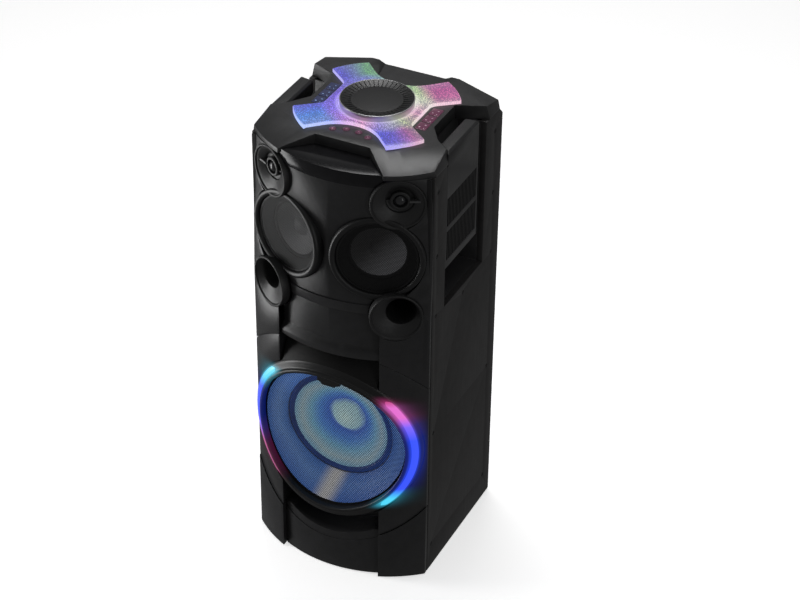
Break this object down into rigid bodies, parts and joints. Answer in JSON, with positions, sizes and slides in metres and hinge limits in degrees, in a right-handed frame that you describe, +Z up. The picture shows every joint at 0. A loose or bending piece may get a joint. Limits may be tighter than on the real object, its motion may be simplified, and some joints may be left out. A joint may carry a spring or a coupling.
{
  "type": "party speaker",
  "caption": "Tall floor-standing party speaker: barrel front with a lit woofer ring, mid drivers and tweeters, a lit top with dial and keys, side handles.",
  "frame": {"origin": "middle of the footprint on the floor", "axes": "+Z up, the front with the drivers faces -Y, +X is the speaker's left as it faces the listener"},
  "size_m": [0.36, 0.375, 0.938],
  "materials": {
    "black_board": "satin black foil",
    "raw_board": "raw particle board",
    "black_plastic": "fine grain, satin",
    "plate_plastic": "satin dark grey",
    "smoked_plastic": "smoked gloss",
    "grille_steel": "perforated, black",
    "light_diffuser": "lit diffuser",
    "light_arc": "lit diffuser",
    "key_plastic": "satin gloss",
    "dial_plastic": "black with silvered rim",
    "cone_paper": "pressed paper",
    "rubber": "matt",
    "steel": "black painted steel",
    "ferrite": "ferrite and steel",
    "circuit_board": "board with parts",
    "aluminium": "extruded fins",
    "inlet_plastic": "satin"
  },
  "bodies": {
    "cabinet": {"side_panel_right": "black_board", "side_panel_left": "black_board", "side_screws": "steel", "bottom_board": "black_board", "feet": "rubber", "rear_board": "black_board", "divider_board": "raw_board", "woofer_board": "black_board", "amplifier_panel": "steel", "mains_inlet": "inlet_plastic", "amplifier_board": "aluminium", "transformer": "ferrite", "column_right": "black_plastic", "column_left": "black_plastic", "cheek_right": "black_plastic", "cheek_left": "black_plastic", "center_panel": "black_plastic", "trim_strip": "black_plastic", "base_panel": "black_plastic", "display_window": "smoked_plastic", "woofer_ring": "black_plastic", "light_arc_right": "light_arc", "light_arc_left": "light_arc", "woofer_grille": "grille_steel", "woofer_funnel": "black_plastic", "woofer_basket": "steel", "woofer_magnet": "ferrite", "woofer_surround": "rubber", "mid_ring_right": "black_plastic", "mid_ring_left": "black_plastic", "mid_grille_right": "grille_steel", "mid_grille_left": "grille_steel", "mid_frames": "steel", "mid_surrounds": "rubber", "tweeter_horn_right": "black_plastic", "tweeter_horn_left": "black_plastic", "tweeter_drivers": "ferrite", "port_right": "black_plastic", "port_left": "black_plastic", "handle_pocket_right": "black_plastic", "handle_pocket_left": "black_plastic", "handle_wing_right": "black_plastic", "handle_wing_left": "black_plastic", "top_plate": "plate_plastic", "light_panel": "light_diffuser", "light_board": "circuit_board"},
    "dial": {"dial": "dial_plastic"},
    "woofer_cone": {"woofer_cone": "cone_paper"},
    "mid_cone_right": {"mid_cone_right": "cone_paper"},
    "mid_cone_left": {"mid_cone_left": "cone_paper"},
    "key_right_1": {"key_right_1": "key_plastic"},
    "key_right_2": {"key_right_2": "key_plastic"},
    "key_right_3": {"key_right_3": "key_plastic"},
    "key_left_1": {"key_left_1": "key_plastic"},
    "key_left_2": {"key_left_2": "key_plastic"},
    "key_left_3": {"key_left_3": "key_plastic"},
    "key_front_1": {"key_front_1": "key_plastic"},
    "key_front_2": {"key_front_2": "key_plastic"},
    "key_front_3": {"key_front_3": "key_plastic"},
    "key_front_4": {"key_front_4": "key_plastic"}
  },
  "joints": [
    {"name": "dial_turn", "type": "hinge", "parent": "cabinet", "child": "dial", "pos_m": [0, 0.0315, 0.93], "axis": [0, 0, 1], "continuous": true},
    {"name": "woofer_cone_travel", "type": "slide", "parent": "cabinet", "child": "woofer_cone", "axis": [0, -1, 0], "range_m": [-0.006, 0.006], "stiffness_N_per_m": 2500},
    {"name": "mid_cone_right_travel", "type": "slide", "parent": "cabinet", "child": "mid_cone_right", "axis": [0.3518, -0.9361, 0], "range_m": [-0.0025, 0.0025], "stiffness_N_per_m": 2500},
    {"name": "mid_cone_left_travel", "type": "slide", "parent": "cabinet", "child": "mid_cone_left", "axis": [-0.3518, -0.9361, 0], "range_m": [-0.0025, 0.0025], "stiffness_N_per_m": 2500},
    {"name": "key_right_1_press", "type": "slide", "parent": "cabinet", "child": "key_right_1", "axis": [0, 0, -1], "range_m": [0, 0.0008], "stiffness_N_per_m": 600, "springref_m": -0.001},
    {"name": "key_right_2_press", "type": "slide", "parent": "cabinet", "child": "key_right_2", "axis": [0, 0, -1], "range_m": [0, 0.0008], "stiffness_N_per_m": 600, "springref_m": -0.001},
    {"name": "key_right_3_press", "type": "slide", "parent": "cabinet", "child": "key_right_3", "axis": [0, 0, -1], "range_m": [0, 0.0008], "stiffness_N_per_m": 600, "springref_m": -0.001},
    {"name": "key_left_1_press", "type": "slide", "parent": "cabinet", "child": "key_left_1", "axis": [0, 0, -1], "range_m": [0, 0.0008], "stiffness_N_per_m": 600, "springref_m": -0.001},
    {"name": "key_left_2_press", "type": "slide", "parent": "cabinet", "child": "key_left_2", "axis": [0, 0, -1], "range_m": [0, 0.0008], "stiffness_N_per_m": 600, "springref_m": -0.001},
    {"name": "key_left_3_press", "type": "slide", "parent": "cabinet", "child": "key_left_3", "axis": [0, 0, -1], "range_m": [0, 0.0008], "stiffness_N_per_m": 600, "springref_m": -0.001},
    {"name": "key_front_1_press", "type": "slide", "parent": "cabinet", "child": "key_front_1", "axis": [0, 0, -1], "range_m": [0, 0.0008], "stiffness_N_per_m": 600, "springref_m": -0.001},
    {"name": "key_front_2_press", "type": "slide", "parent": "cabinet", "child": "key_front_2", "axis": [0, 0, -1], "range_m": [0, 0.0008], "stiffness_N_per_m": 600, "springref_m": -0.001},
    {"name": "key_front_3_press", "type": "slide", "parent": "cabinet", "child": "key_front_3", "axis": [0, 0, -1], "range_m": [0, 0.0008], "stiffness_N_per_m": 600, "springref_m": -0.001},
    {"name": "key_front_4_press", "type": "slide", "parent": "cabinet", "child": "key_front_4", "axis": [0, 0, -1], "range_m": [0, 0.0008], "stiffness_N_per_m": 600, "springref_m": -0.001}
  ]
}
